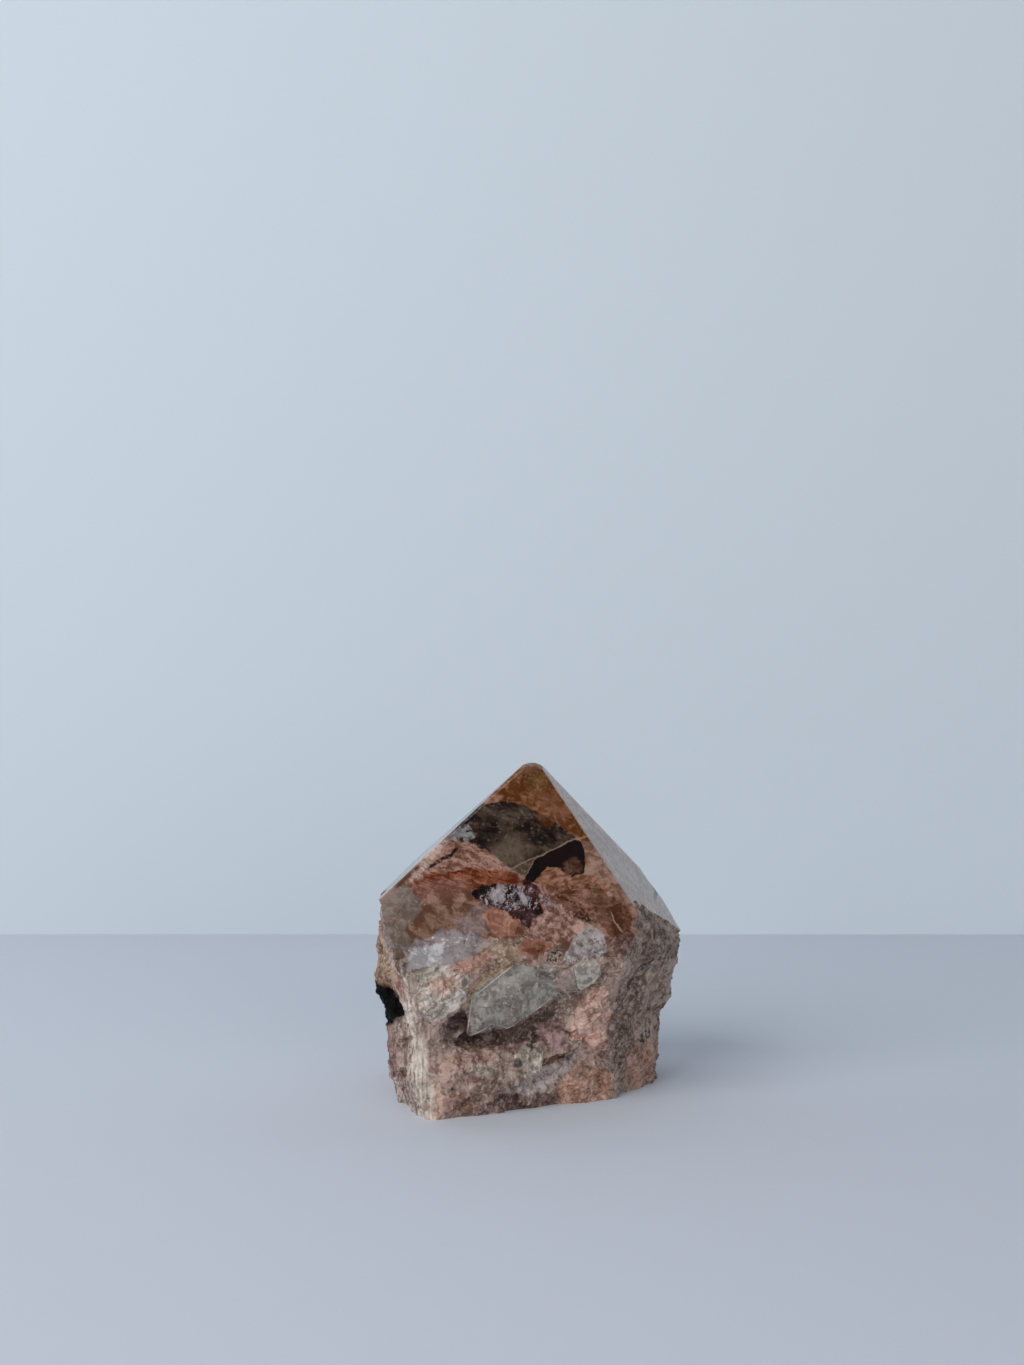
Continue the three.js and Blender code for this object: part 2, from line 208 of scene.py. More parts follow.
def break_relief(point):
    x, y, z = point
    left_ridge = ridge_at(RIDGE_FRONT_LEFT, z)
    right_ridge = ridge_at(RIDGE_FRONT_RIGHT, z)
    left_of = -0.918 * (x - left_ridge.x) + 0.397 * (y - left_ridge.y)
    right_of = 0.77 * (x - right_ridge.x) + 0.64 * (y - right_ridge.y)
    right_side = smooth(right_of, -0.4, 0.8) * (1.0 - smooth(y, 6.5, 9.5))
    front = (1.0 - smooth(left_of, -0.6, 0.6)) * (1.0 - smooth(right_of, -0.6, 0.6))
    height = 0.0
    large, large_joint = cleavage(point + Vector((3.1, 0, 0)), 4.6, 0.42, 0.26)
    small, small_joint = cleavage(point, 1.9, 0.15, 0.27)
    fine, _ = cleavage(point, 0.95, 0.04, 0.15)
    grain = noise.fractal(point * 1.1, 0.7, 2.1, 4)
    # Fibres
    climb = Vector((point.dot(ACROSS_FIBRES) * 1.5, point.dot(ALONG_FIBRES) * 0.35, 0.0))
    fibres = noise.fractal(climb, 0.8, 2.0, 4)
    ridge_lines = noise.fractal(Vector((x * 1.6, y * 1.6, z * 0.11)), 0.8, 2.0, 3)
    ridge_share = math.exp(-(left_of / 2.6) ** 2) * smooth(27.0 - z, -2, 4)
    block_share = 1.0 - 0.75 * ridge_share - 0.45 * right_side
    height += block_share * (large + small + fine + ledges(point))
    height -= 0.07 * block_share * math.exp(-(large_joint / 0.05) ** 2)
    height -= 0.03 * math.exp(-(small_joint / 0.08) ** 2) * block_share
    height += 0.09 * grain
    height += 0.30 * right_side * fibres
    height += 0.36 * ridge_share * ridge_lines
    if front > 0.01:
        at_x, at_z = x + 0.5 * noise.noise(point * 0.9), z + 0.5 * noise.noise(point * 0.8 + Vector((7, 0, 0)))
        for rise, corners in PIECES:
            height += front * rise * smooth(reach_into(corners, at_x, at_z), -0.2, 0.25)
        reach = reach_into(QUARTZ_PLATE, x, z)
        plate = smooth(reach, -0.05, 0.15)
        facets = 0.12 * noise.noise(point * 0.35) + 0.02 * grain + 0.35 * small + 0.35 * large
        height += front * plate * (facets + 0.40 - height)
        height -= front * 0.40 * math.exp(-((reach + 0.25) / 0.25) ** 2)
        height -= front * 0.40 * math.exp(-(line_gap(at_x, at_z, SEAM) / 0.25) ** 2)
    return height


def chipped(point):
    """The lower front corner of the right flat, which broke away after the grinding."""
    below_line = 36.3 - 0.53 * (point.y + 6.0) - point.z + 0.9 * noise.noise(point * 0.5)
    right_of = point.x - 17.9 + 0.5 * noise.noise(point * 0.9)
    return smooth(below_line, 0.0, 0.5) * smooth(right_of, 0.0, 0.5) * (1.0 - smooth(point.y, 11.0, 14.0))


mesh = stone.data
mesh.update()
flat_overshoot = 0.9
CORNER = Vector((19.8, -6.6, 32.1))
LIMITS = [corner / MM for corner in map(Vector, cad_box)]
normals = [vertex.normal.copy() for vertex in mesh.vertices]
for vertex, normal in zip(mesh.vertices, normals):
    point = vertex.co / MM
    below = depths(point)
    rounded = tip_skin(point)
    if rounded is not None:
        vertex.co = rounded * MM
        continue
    nearest, second = sorted(below.values())[:2]
    reach = 1.0 if second < 1.1 else 0.5
    wall = smooth(nearest, 0.1, 0.5) * smooth(point.z, 0.0, 0.35) * smooth(second, 0.8, 1.2)
    chip = chipped(point) * (1.0 - smooth(nearest, 0.5, 2.5))
    if max(wall, chip) > 0:
        lost = chip * (0.45 + 0.8 * math.exp(-((point - CORNER).length / 4.0) ** 2))
        point += normal * (break_relief(point) * max(wall, chip) - lost)
    for name, (outward, _) in PLANES.items():
        point += outward * flat_overshoot * (1.0 - smooth(below[name], 0.0, reach)) * (1.0 - chip)
    point.z -= flat_overshoot * (1.0 - smooth(point.z, 0.1, 0.5))
    for side in range(3):
        point[side] = min(point[side], LIMITS[1][side])
        point[side] = max(point[side], LIMITS[0][side] - (flat_overshoot if side == 2 else 0.0))
    vertex.co = point * MM


# The grinding: each flat, the sawn base and the softened arrises between the flats are cut and closed.
def cut(normal, offset):
    bpy.ops.mesh.select_all(action="SELECT")
    bpy.ops.mesh.bisect(plane_co=normal * offset * MM, plane_no=normal, use_fill=True, clear_outer=True,
                        threshold=1e-7)


ARRIS_RADIUS = 0.55
arris_planes = []
for one, other in ARRISES:
    (normal_a, offset_a), (normal_b, offset_b) = PLANES[one], PLANES[other]
    for share in (0.25, 0.5, 0.75):
        normal = normal_a.slerp(normal_b, share)
        # The plane touches a round bar laid inside the edge
        spread = normal_a.dot(normal_b)
        lean_a, lean_b = normal.dot(normal_a), normal.dot(normal_b)
        part_a = (lean_a - spread * lean_b) / (1 - spread ** 2)
        part_b = (lean_b - spread * lean_a) / (1 - spread ** 2)
        offset = part_a * (offset_a - ARRIS_RADIUS) + part_b * (offset_b - ARRIS_RADIUS) + ARRIS_RADIUS
        arris_planes.append((normal, offset))

bpy.ops.object.mode_set(mode="EDIT")
cut(Vector((0, 0, -1)), 0.0)
for normal, offset in list(PLANES.values()) + arris_planes:
    cut(normal, offset)
bpy.ops.object.mode_set(mode="OBJECT")

FLAT_AREA = 50 * MM * MM
polish = mesh.attributes.new("polish", "FLOAT", "FACE")
ground = list(PLANES.values()) + arris_planes
for face in mesh.polygons:
    middle = face.center / MM
    level = any(abs(normal.dot(middle) - offset) < 0.01 and normal.dot(face.normal) > 0.999
                for normal, offset in ground)
    rounded = tip_skin(middle)
    tip = rounded is not None and (rounded - middle).length < 0.04
    polish.data[face.index].value = 1.0 if level or tip else 0.0
    face.use_smooth = face.area < FLAT_AREA
bpy.ops.object.select_all(action="DESELECT")
stone.select_set(True)
bpy.context.view_layer.objects.active = stone
bpy.ops.object.shade_smooth_by_angle(angle=math.radians(26))

# What the stone is made of: pink and orange feldspar, grey and smoky quartz, dark red and purple
# patches and specks of a black mineral, grown through each other. The ground flats show it as if wet.
look = bpy.data.materials.new("grown_feldspar_and_quartz")
look.use_nodes = True
tree = look.node_tree
surface = tree.nodes["Principled BSDF"]
mesh.materials.append(look)


def add(kind, inputs, output=0, **settings):
    made = tree.nodes.new("ShaderNode" + kind)
    for name, value in settings.items():
        setattr(made, name, value)
    for name, value in inputs.items():
        if isinstance(value, bpy.types.NodeSocket):
            tree.links.new(value, made.inputs[name])
        else:
            made.inputs[name].default_value = value
    return made.outputs[output]


def calc(operation, *values):
    return add("Math", dict(enumerate(values)), operation=operation)


def move(operation, *values, output=0):
    return add("VectorMath", dict(enumerate(values)), output, operation=operation)


def share(value, low, high):
    inputs = {"Value": value, "From Min": low, "From Max": high}
    return add("MapRange", inputs, interpolation_type="SMOOTHSTEP")


def blend(amount, under, over, how="MIX"):
    return add("Mix", {0: amount, 6: under, 7: over}, 2, data_type="RGBA", blend_type=how)


def clouds(at, size, detail=3.0, rough=0.55, output=0, swirl=0.0):
    inputs = {"Vector": at, "Scale": 1 / size, "Detail": detail, "Roughness": rough, "Distortion": swirl}
    return add("TexNoise", inputs, output)


def crystals(at, size, output=1):
    return add("TexVoronoi", {"Vector": at, "Scale": 1 / size}, output)


def fibres(at, run, width, length, detail=3):
    """Threads of crystal that all run one way, their width and length in mm."""
    run = Vector(run).normalized()
    sideways = run.orthogonal().normalized()
    numbers = [calc("DIVIDE", move("DOT_PRODUCT", at, way, output=1), size)
               for way, size in ((run, length), (sideways, width), (run.cross(sideways), width))]
    threads = add("CombineXYZ", dict(enumerate(numbers)))
    return share(clouds(threads, 1.0, detail, 0.6), 0.36, 0.64)


place = move("SCALE", add("TexCoord", {}, 3))
place.node.inputs[3].default_value = 1 / MM
across, deep, up = (add("SeparateXYZ", {"Vector": place}, side) for side in range(3))
polished = add("Attribute", {}, 2, attribute_name="polish")
swirl = move("SUBTRACT", clouds(place, 5.5, 2, output=1), (0.5, 0.5, 0.5))
ragged = move("SUBTRACT", clouds(place, 1.5, 6, 0.75, output=1), (0.5, 0.5, 0.5))
drawn = move("MULTIPLY_ADD", ragged, (2.3, 2.3, 2.3), move("MULTIPLY_ADD", swirl, (1.8, 1.8, 1.8), place))
crisp = move("MULTIPLY_ADD", ragged, (0.9, 0.9, 0.9), place)
# In these views one number is always 1, so that a dot product can also take an offset
front_view = move("MULTIPLY_ADD", drawn, (1, 0, 1), (0, 1, 0))
front_crisp = move("MULTIPLY_ADD", crisp, (1, 0, 1), (0, 1, 0))
front_plain = move("MULTIPLY_ADD", place, (1, 0, 1), (0, 1, 0))
side_view = move("MULTIPLY_ADD", crisp, (0, 1, 1), (1, 0, 0))

cloud = share(clouds(place, 6.0, 4, swirl=0.6), 0.36, 0.64)
mottle = share(clouds(place, 1.9, 5, 0.66, swirl=0.9), 0.36, 0.64)
fine = share(clouds(place, 0.55, 4, 0.7), 0.35, 0.65)
streak = fibres(crisp, (0.05, 0, 1), 0.75, 6.0)
slant = fibres(crisp, (0.85, 0.2, 0.5), 0.6, 3.6)
climb = fibres(crisp, (0.41, 0.65, 0.63), 0.55, 2.2, 4)
feather = fibres(drawn, (0.88, 0.15, -0.30), 0.55, 3.0, 4)
plume = fibres(drawn, (0.45, 0.2, 0.87), 0.42, 2.6, 4)
cell = add("SeparateColor", {"Color": crystals(crisp, 0.8)}, 0)
fracture = share(add("TexVoronoi", {"Vector": drawn, "Scale": 1 / 4.6}, feature="DISTANCE_TO_EDGE"), 0.022, 0.006)
white_vein = share(calc("ABSOLUTE", calc("SUBTRACT", clouds(drawn, 3.2, 3, 0.6), 0.5)), 0.022, 0.004)
glint = share(add("SeparateColor", {"Color": crystals(crisp, 0.45)}, 1), 0.93, 0.97)
soot = share(clouds(crisp, 1.5, 3, 0.6), 0.66, 0.71)


def oval_of(view, at, half, turn=0, edge=0.25, depth_view=False):
    """A rounded patch: its middle and half sizes in mm, turned anticlockwise as the view shows it."""
    swing = math.radians(turn)
    wide = Vector((math.cos(swing), math.sin(swing))) / half[0]
    high = Vector((-math.sin(swing), math.cos(swing))) / half[1]
    reaches = []
    for side in (wide, high):
        shift = -side.dot(Vector(at))
        numbers = (shift, side.x, side.y) if depth_view else (side.x, shift, side.y)
        reaches.append(move("DOT_PRODUCT", view, numbers, output=1))
    spread = calc("MULTIPLY_ADD", reaches[0], reaches[0], calc("MULTIPLY", reaches[1], reaches[1]))
    return share(spread, (1 + edge) ** 2, (1 - edge) ** 2)


def outline_of(view, corners, edge=0.2):
    """A straight-sided patch with no inward corner, from its corners as the front view shows them."""
    middle = Vector((sum(c[0] for c in corners), sum(c[1] for c in corners))) / len(corners)
    reach = None
    for start, end in zip(corners, corners[1:] + corners[:1]):
        along = (Vector(end) - Vector(start)).normalized()
        inward = Vector((-along.y, along.x))
        if inward.dot(middle - Vector(start)) < 0:
            inward = -inward
        side = move("DOT_PRODUCT", view, (inward.x, -inward.dot(Vector(start)), inward.y), output=1)
        reach = side if reach is None else calc("MINIMUM", reach, side)
    return share(reach, -0.5 * edge, 0.5 * edge)


# The body colours everywhere: feldspar, with quartz through it. A colour is written as it is seen in
# soft daylight, in steps of 255, and each patch is clouded between a lighter and a darker shade of it.
DAYLIGHT = (0.61, 0.63, 0.67)
SHEEN = 0.014


def own(seen):
    levels = [max(value, 0) / 255 for value in seen]
    linear = [v / 12.92 if v < 0.04 else ((v + 0.055) / 1.055) ** 2.4 for v in levels]
    return (*[max(v - SHEEN, 0.002) / light for v, light in zip(linear, DAYLIGHT)], 1.0)


def shades(seen, spread):
    pale = [value + spread * (1.15 + 0.05 * number) for number, value in enumerate(seen)]
    deep_shade = [value - spread * (1.0 + 0.1 * number) * value / max(seen) for number, value in enumerate(seen)]
    return own(pale), own(deep_shade)


quartz_share = share(clouds(drawn, 9, 3), 0.53, 0.57)
palette = [blend(quartz_share, one, other) for one, other in
           zip(shades((124, 96, 86), 26), shades((116, 106, 100), 22))]
front_half = share(deep, 9, 6)
pattern = calc("MULTIPLY_ADD", cloud, 0.35, calc("MULTIPLY_ADD", mottle, 0.50, calc("MULTIPLY", fine, 0.15)))
flowing = calc("MULTIPLY_ADD", cloud, 0.40, calc("MULTIPLY_ADD", mottle, 0.42, calc("MULTIPLY", feather, 0.18)))
pattern = add("Mix", {0: share(up, 26.5, 30), 2: pattern, 3: flowing})


def paint(patch, seen, spread=18, strength=1.0, grain=None):
    """Gives a patch its own colours, and its own grain where it isn't mottled."""
    global pattern
    amount = patch if strength == 1.0 else calc("MULTIPLY", patch, strength)
    for number, shade in enumerate(shades(seen, spread)):
        palette[number] = blend(amount, palette[number], shade)
    if grain is not None:
        pattern = add("Mix", {0: calc("MULTIPLY", amount, 0.34), 2: pattern, 3: grain})


def front(patch, keep=None):
    return calc("MULTIPLY", patch, front_half if keep is None else keep)


def patch_of(corners, edge=0.35, view=None):
    return front(outline_of(view or front_view, corners, edge))


def spot_of(at, half, turn=0, edge=0.25, view=None):
    return front(oval_of(view or front_view, at, half, turn, edge))


paint(share(clouds(drawn, 4.6, 3), 0.64, 0.68), (72, 50, 46), 14, 0.8)
paint(front(share(up, 27, 30)), (118, 86, 74), 26)
# The tip and the strip down the right-hand edge
paint(patch_of([(-9.8, 53.0), (4.9, 47.1), (11.5, 45.3), (2.6, 60.4), (-3.2, 60.4)]), (107, 68, 43), 20)
paint(spot_of((0.6, 56.4), (2.9, 1.6), -40, 0.6), (96, 68, 40), 16, 0.8)
paint(spot_of((2.7, 53.9), (2.4, 1.1), -35, 0.6), (92, 54, 34), 14, 0.8)
paint(spot_of((-7.7, 53.3), (2.0, 0.5), 8, 0.5), (140, 104, 92), 22, 0.8)
paint(spot_of((-0.7, 58.4), (1.3, 0.7), 0, 0.5), (134, 96, 80), 20, 0.7)
paint(spot_of((4.2, 50.8), (2.5, 1.3), -45, 0.6), (104, 66, 50), 16, 0.8)
paint(patch_of([(8.1, 45.6), (9.8, 38.6), (15.8, 35.7), (19.5, 34.6), (11.6, 45.5)]), (130, 100, 87), 22)
# The smoky quartz under the tip, and the crystals at its left
smoky = patch_of([(-13.8, 48.6), (-11.2, 46.4), (-3.9, 41.6), (7.9, 46.3), (2.7, 49.9), (-1.6, 52.2), (-5.6, 53.0), (-9.2, 52.5), (-11.6, 51.4)],
                 0.12, front_crisp)
paint(smoky, (55, 43, 35), 14)
paint(calc("MULTIPLY", smoky, oval_of(front_view, (-3.2, 44.8), (4.0, 2.0), 22, 0.6)), (86, 73, 64), 13, 0.9)
paint(calc("MULTIPLY", smoky, oval_of(front_view, (-5.4, 50.7), (4.7, 1.1), -6, 0.6)), (76, 64, 58), 14, 0.7)
paint(calc("MULTIPLY", smoky, oval_of(front_view, (-9.1, 47.8), (2.0, 2.4), 0, 0.6)), (46, 36, 31), 9, 0.8)
paint(calc("MULTIPLY", smoky, oval_of(front_view, (0.9, 46.9), (2.7, 1.3), -10, 0.5)), (44, 33, 29), 9, 0.8)
paint(calc("MULTIPLY", smoky, oval_of(front_view, (2.2, 49.7), (1.6, 1.1), -40, 0.5)), (92, 60, 42), 14, 0.8)
paint(patch_of([(-15.8, 46.6), (-11.9, 46.5), (-10.3, 47.1), (-10.7, 48.1), (-11.6, 49.7), (-13.4, 48.8)], 0.15, front_crisp), (90, 85, 88), 46, 1.0, cell)
# Pink feldspar on the left with an orange-brown band
paint(patch_of([(-21.3, 41.7), (-20.8, 39.9), (-3.6, 41.4), (-5.9, 43.4), (-11.2, 46.4), (-16.0, 46.7)]),
      (131, 95, 84), 30, 1.0, feather)
paint(spot_of((-19.7, 42.3), (2.7, 0.7), 44, 0.4), (166, 142, 134), 34, 0.8)
paint(spot_of((-17.0, 45.3), (1.8, 0.5), 40, 0.4), (160, 136, 128), 30, 0.8)
paint(patch_of([(-20.8, 37.7), (-18.0, 37.9), (-4.5, 39.0), (-1.7, 39.8), (-5.5, 41.6), (-11.2, 42.2), (-17.8, 41.9), (-20.8, 40.1)]),
      (108, 57, 36), 22, 1.0, feather)
paint(spot_of((-16.3, 39.1), (4.7, 1.6), 3, 0.4), (129, 92, 83), 19, 0.8)
paint(spot_of((-20.1, 37.3), (1.6, 0.3), -6, 0.4), (150, 126, 116), 24, 0.7)
# Dark red glass right of the crack, with an amber swirl, and orange feldspar round it
paint(patch_of([(0.5, 41.7), (0.8, 39.1), (4.7, 37.3), (11.9, 35.9), (14.1, 37.8), (3.4, 42.9)]), (124, 84, 66), 26, 1.0, slant)
maroon = calc("MAXIMUM", patch_of([(-0.2, 42.7), (2.3, 41.8), (5.9, 41.4), (9.3, 41.9), (9.3, 44.1), (8.6, 45.8), (7.4, 46.2), (4.1, 45.0)], 0.12, front_crisp),
              patch_of([(-1.7, 39.5), (-0.1, 39.4), (3.4, 42.5), (0.7, 43.3), (-0.9, 41.7)], 0.12, front_crisp))
maroon = calc("MAXIMUM", maroon, patch_of([(4.1, 44.5), (5.0, 41.1), (6.9, 39.9), (9.1, 40.5), (9.5, 42.3)], 0.12, front_crisp))
paint(maroon, (32, 20, 18), 9)
paint(spot_of((7.1, 41.5), (1.5, 1.3), 20, 0.4), (84, 58, 47), 20, 0.85)
paint(patch_of([(-3.9, 41.6), (-1.6, 40.3), (0.3, 43.3), (-2.2, 42.8)], 0.12, front_crisp), (86, 72, 62), 12)
# Purple-grey veined quartz in the middle and the dark red round it
purple = patch_of([(-10.1, 37.2), (-8.7, 36.0), (-4.5, 35.1), (0.4, 34.9), (1.7, 36.1), (-0.6, 38.5), (-5.0, 39.3), (-8.0, 38.7)], 0.2)
paint(purple, (85, 70, 77), 42, 1.0, plume)
paint(patch_of([(-10.8, 38.0), (-10.1, 36.8), (-6.1, 38.7), (-5.9, 39.4), (-9.0, 39.2)], 0.15), (44, 28, 28), 12)
paint(patch_of([(-5.0, 35.3), (-2.7, 33.1), (-0.6, 31.6), (2.5, 32.2), (1.0, 36.5), (-1.3, 36.1)], 0.15), (60, 38, 40), 18)
paint(patch_of([(-2.4, 39.9), (-0.3, 36.2), (2.6, 35.1), (2.1, 37.2), (-0.6, 39.8)], 0.15), (70, 44, 42), 18)
paint(patch_of([(1.2, 37.4), (1.5, 35.6), (3.3, 34.4), (5.1, 35.0), (4.7, 36.6)], 0.2), (118, 96, 98), 34, 1.0, plume)
# Grey and brown glassy quartz low on the left, and the lilac band under it
paint(patch_of([(-26.6, 37.6), (-26.2, 26.8), (-20.9, 28.9), (-19.7, 37.5), (-22.9, 40.1)], 0.5), (117, 105, 100), 15)
paint(patch_of([(-22.0, 32.9), (-20.9, 30.3), (-13.5, 33.1), (-10.4, 36.2), (-14.6, 37.5), (-18.9, 36.8)], 0.5), (109, 82, 69), 18)
paint(patch_of([(-14.2, 33.4), (-11.0, 31.4), (-7.6, 32.1), (-6.9, 35.6), (-10.4, 36.2)], 0.5), (116, 97, 95), 20)
lilac = patch_of([(-22.6, 28.6), (-16.1, 27.6), (-9.6, 28.2), (-7.9, 30.6), (-11.1, 32.3), (-16.2, 32.3), (-20.9, 30.7)], 0.4)
paint(lilac, (124, 115, 118), 20)
paint(patch_of([(-9.0, 34.4), (-7.9, 32.5), (-5.9, 30.8), (-3.4, 31.3), (-2.5, 33.1), (-4.8, 35.0), (-7.3, 35.8)], 0.15), (154, 110, 96), 24)
# Granular pink in the middle, brown glass on the right
paint(patch_of([(-1.7, 30.9), (-1.3, 29.3), (3.2, 28.6), (7.3, 30.1), (10.0, 32.0), (8.6, 34.2), (4.7, 35.3), (0.8, 34.2)]),
      (138, 104, 94), 38, 1.0, cell)
paint(spot_of((0.1, 28.9), (2.7, 1.3), 0, 0.4), (124, 82, 66), 22, 0.9)
paint(patch_of([(3.3, 36.0), (10.0, 33.1), (12.9, 35.1), (11.9, 38.5), (4.0, 38.6)]), (104, 68, 54), 28, 0.9, feather)
paint(patch_of([(10.1, 37.3), (11.4, 32.4), (13.9, 29.6), (16.4, 29.2), (17.6, 32.4), (16.5, 34.7), (12.3, 37.5)], 0.3), (93, 63, 51), 16)
paint(spot_of((11.0, 36.6), (0.9, 0.9), 0, 0.4), (92, 68, 44), 14, 0.8)
paint(spot_of((16.0, 28.5), (1.3, 2.0), -20, 0.5), (90, 66, 64), 20, 0.85)
crystal = patch_of([(5.1, 26.9), (6.4, 25.5), (8.9, 24.9), (11.4, 25.7), (13.2, 27.1), (12.5, 30.4), (10.0, 32.2), (6.8, 29.8)], 0.2, front_crisp)
paint(crystal, (132, 123, 124), 24, 1.0, cell)
paint(patch_of([(-11.7, 28.0), (-10.3, 25.5), (-3.1, 28.1), (-2.0, 30.3), (-7.9, 30.9)], 0.3), (142, 122, 110), 30, 1.0, cell)

# The broken front under the ground flat: grey-pink, with a cream block on the left
paint(front(share(up, 27.5, 25.5)), (124, 104, 97), 26, 0.8)
paint(patch_of([(-22.9, 27.7), (-22.2, 26.3), (-15.4, 27.5), (-15.5, 30.4), (-20.9, 30.0)], 0.4), (170, 170, 178), 24, 0.9)
paint(spot_of((-12.4, 28.6), (4.0, 1.1), 12, 0.4), (132, 122, 124), 16, 0.8)
cream = patch_of([(-20.7, 21.3), (-18.9, 17.3), (-14.8, 18.2), (-11.7, 20.6), (-11.0, 24.1), (-12.4, 26.3), (-16.1, 27.9), (-20.7, 26.2)], 0.25)
paint(cream, (151, 142, 137), 30, 1.0, slant)
paint(spot_of((-15.4, 23.9), (2.2, 1.5), 10, 0.5), (158, 130, 119), 18, 0.8)
paint(spot_of((-18.8, 25.7), (1.8, 0.9), 10, 0.5), (142, 140, 128), 16, 0.7)
paint(patch_of([(-15.1, 26.9), (-11.7, 24.8), (-9.3, 25.7), (-6.2, 28.2), (-7.2, 29.3)], 0.2), (142, 108, 96), 26)
paint(patch_of([(-12.4, 18.6), (-11.4, 18.3), (-1.7, 27.6), (-2.4, 28.7), (-7.2, 26.3), (-11.0, 22.7)], 0.2, front_crisp),
      (124, 104, 84), 26, 0.9, slant)
# The grey-green quartz plate and the angular pieces at its right
plate_left = patch_of([(-11.7, 14.4), (-11.1, 13.6), (-4.6, 14.9), (1.3, 18.2), (2.7, 19.5), (1.3, 23.9), (-1.5, 26.4), (-3.4, 26.2), (-6.5, 24.6), (-9.3, 23.0), (-10.7, 21.0), (-11.4, 18.3)],
                      0.15, front_plain)
plate_right = patch_of([(-0.6, 19.8), (2.2, 19.0), (8.0, 20.4), (6.4, 25.0), (0.1, 25.6)], 0.15, front_plain)
plate = calc("MAXIMUM", plate_left, plate_right)
paint(plate, (106, 102, 98), 16, 1.0, mottle)
paint(patch_of([(3.9, 25.2), (4.1, 20.8), (7.9, 20.0), (7.3, 25.7)], 0.12, front_crisp), (114, 98, 93), 14, 0.9)
blocks = patch_of([(6.9, 25.4), (7.8, 21.2), (8.4, 20.6), (10.7, 21.9), (11.9, 23.5), (11.5, 25.5), (10.5, 26.5)], 0.15, front_plain)
paint(blocks, (128, 123, 117), 20, 1.0, mottle)
# Painted shade: the hollow below the plate and the recess that runs right from it are painted dark brown for the shade
# that falls in them under the plate
paint(patch_of([(-16.2, 13.5), (-13.1, 12.1), (-10.1, 12.6), (-11.4, 17.9), (-12.4, 19.3), (-16.1, 16.5)], 0.25), (66, 50, 45), 18, 0.95)
paint(patch_of([(-11.1, 12.1), (-8.0, 11.7), (-3.8, 12.3), (-3.1, 15.2), (-11.1, 14.1)], 0.25), (73, 57, 52), 18, 0.9)
paint(patch_of([(-5.0, 13.8), (-3.1, 12.0), (4.0, 16.0), (3.9, 19.0), (2.0, 18.4)], 0.25), (86, 71, 65), 22, 0.9)
paint(patch_of([(0.1, 14.6), (1.5, 11.0), (4.7, 9.6), (6.8, 12.6), (4.7, 15.1)], 0.3), (118, 92, 91), 22, 0.9)
paint(spot_of((-12.8, 14.2), (0.9, 0.5), 20, 0.5), (118, 108, 104), 40, 0.6, cell)
paint(patch_of([(3.9, 18.6), (5.1, 14.7), (7.6, 13.3), (7.9, 19.6), (4.6, 20.4)], 0.3), (134, 118, 108), 24, 0.8)
paint(spot_of((-12.4, 9.5), (6.2, 2.2), 4, 0.4), (130, 104, 95), 26, 0.8)
paint(spot_of((-9.3, 8.1), (2.5, 1.1), -14, 0.35), (146, 137, 130), 24, 0.85)
paint(spot_of((-4.8, 6.1), (1.6, 0.9), -10, 0.35), (158, 142, 130), 24, 0.7)
paint(patch_of([(1.0, 7.2), (2.2, 5.8), (5.1, 7.2), (5.8, 9.8), (1.9, 8.8)], 0.15), (78, 55, 43), 14)
paint(patch_of([(-3.4, 9.7), (-2.7, 7.5), (-1.3, 5.5), (1.3, 6.7), (1.9, 9.2), (0.8, 11.4), (-2.0, 11.2)], 0.2, front_crisp),
      (150, 142, 134), 36, 0.9, cell)
paint(patch_of([(-6.2, 3.7), (-2.4, 2.1), (2.6, 3.4), (6.8, 6.6), (9.0, 9.8), (4.7, 8.3), (-1.7, 5.6)], 0.25), (120, 110, 110), 24)
# Pink blocks on the right with cleavage steps, and the base
paint(patch_of([(6.8, 11.5), (13.0, 11.6), (14.0, 16.3), (13.1, 21.2), (10.0, 21.0), (7.5, 18.4)], 0.25), (156, 126, 116), 30, 0.95, slant)
paint(patch_of([(9.0, 12.1), (9.4, 9.8), (11.5, 8.5), (13.4, 10.1), (11.8, 12.7)], 0.12, front_crisp), (150, 116, 103), 20, 0.9)
paint(patch_of([(4.0, 2.3), (4.2, -2.3), (12.8, -1.9), (14.9, 2.9), (13.0, 5.8), (7.9, 7.2)], 0.3), (140, 106, 92), 26, 0.9)
paint(patch_of([(-10.4, 1.7), (-9.7, 0.1), (-4.1, -3.0), (4.2, -1.9), (4.7, 1.9), (-4.8, 3.2)], 0.25), (88, 68, 63), 20, 0.9)
paint(patch_of([(-22.1, -3.0), (-17.5, -4.8), (-15.2, 3.3), (-16.9, 6.9), (-21.9, 5.3)], 0.4), (138, 110, 99), 34, 0.85)
paint(spot_of((-17.7, 3.5), (0.5, 2.4), 0, 0.5), (172, 160, 152), 20, 0.8)
paint(spot_of((-13.1, 3.1), (2.5, 1.3), 0, 0.4), (118, 88, 80), 24, 0.7)

# The left side: cream and pink fibres down to the front ridge, an ochre brow and black mineral in a pocket
left_of = move("DOT_PRODUCT", crisp, (-0.918, 0.397, -0.1), output=1)
left_side = calc("MULTIPLY", share(left_of, 7.4, 8.2), share(up, 31, 28))
left_side = calc("MULTIPLY", left_side, share(deep, 3, -1))
paint(left_side, (124, 107, 101), 36, 1.0, streak)
ridge_veil = calc("MULTIPLY", share(left_of, 6.6, 7.8), share(left_of, 12.5, 9.5))
ridge_veil = calc("MULTIPLY", calc("MULTIPLY", ridge_veil, share(up, 27, 24)), share(deep, 3, -1))
paint(ridge_veil, (174, 164, 157), 24, 0.85)


def side_spot(at, half, turn=0, edge=0.25):
    """A rounded patch on the left side, its middle and half sizes along the depth and the height."""
    return calc("MULTIPLY", left_side, oval_of(side_view, at, half, turn, edge, True))


